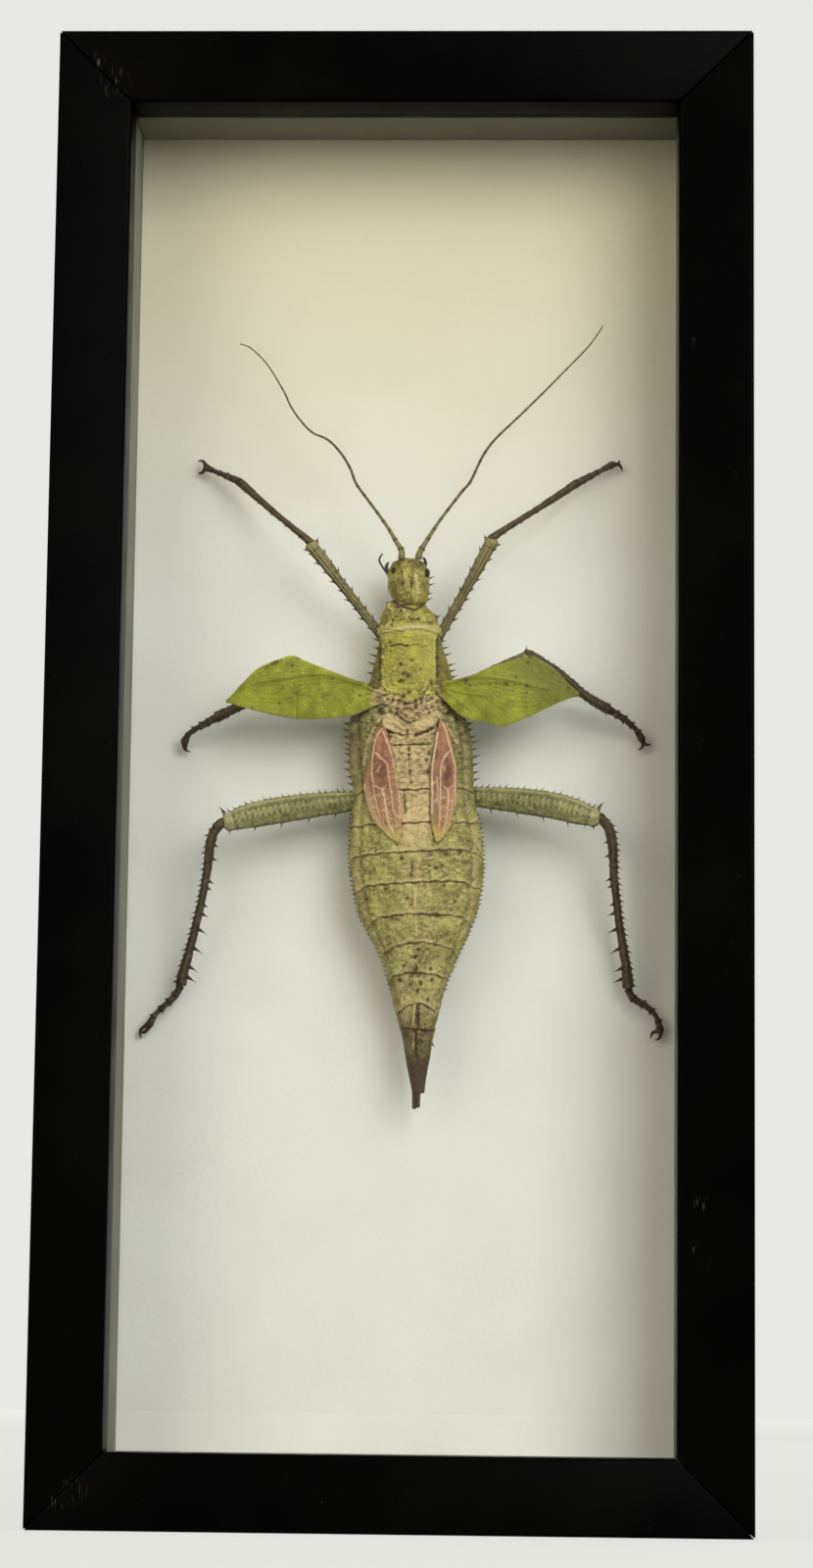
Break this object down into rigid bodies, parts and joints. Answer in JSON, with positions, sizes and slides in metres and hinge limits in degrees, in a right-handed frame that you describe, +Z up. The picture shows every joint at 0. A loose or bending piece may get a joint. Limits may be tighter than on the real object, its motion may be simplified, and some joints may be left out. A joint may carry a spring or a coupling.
{
  "type": "framed stick insect specimen",
  "caption": "Spiny green stick insect with leaf-like wings, mounted on a white backing in a tall black shadow-box frame behind glass.",
  "frame": {"origin": "middle of the frame's underside, halfway between its front and rear faces", "axes": "+Z up along the frame's long side, -Y out of the glass towards the viewer, +X to the viewer's right"},
  "size_m": [0.19, 0.044, 0.405],
  "materials": {
    "frame_black": "satin black paint on a smooth moulding",
    "pane": "clear polished",
    "white_card": "matt white paper-faced foam board",
    "hardboard": "brown pressed board",
    "hanger_steel": "zinc plated",
    "green_shell": "dry waxy cuticle",
    "olive_shell": "dry waxy cuticle",
    "brown_leg": "dry horny cuticle",
    "olive_leg": "dry horny cuticle",
    "green_leg": "dry mottled cuticle",
    "leaf_wing": "veined parchment-like wing",
    "pink_wing": "thin veined membrane",
    "glue": "clear set glue"
  },
  "bodies": {
    "root": {"frame_rail_bottom": "frame_black", "frame_rail_top": "frame_black", "frame_rail_left": "frame_black", "frame_rail_right": "frame_black", "glass_pane": "pane", "liner_left": "white_card", "liner_right": "white_card", "liner_bottom": "white_card", "liner_top": "white_card", "backing_board": "white_card", "rear_board": "hardboard", "wall_hanger": "hanger_steel", "head": "green_shell", "prothorax": "green_shell", "mesothorax": "green_shell", "abdomen": "olive_shell", "antenna_left": "brown_leg", "tegmen_left": "leaf_wing", "hindwing_left": "pink_wing", "fore_femur_left": "olive_leg", "fore_tibia_left": "olive_leg", "fore_foot_left": "brown_leg", "middle_femur_left": "olive_leg", "middle_tibia_left": "brown_leg", "middle_foot_left": "brown_leg", "hind_femur_left": "green_leg", "hind_tibia_left": "brown_leg", "hind_foot_left": "brown_leg", "antenna_right": "brown_leg", "tegmen_right": "leaf_wing", "hindwing_right": "pink_wing", "fore_femur_right": "olive_leg", "fore_tibia_right": "olive_leg", "fore_foot_right": "brown_leg", "middle_femur_right": "olive_leg", "middle_tibia_right": "brown_leg", "middle_foot_right": "brown_leg", "hind_femur_right": "green_leg", "hind_tibia_right": "brown_leg", "hind_foot_right": "brown_leg", "glue_dab_thorax": "glue", "glue_dab_abdomen": "glue"}
  },
  "joints": []
}
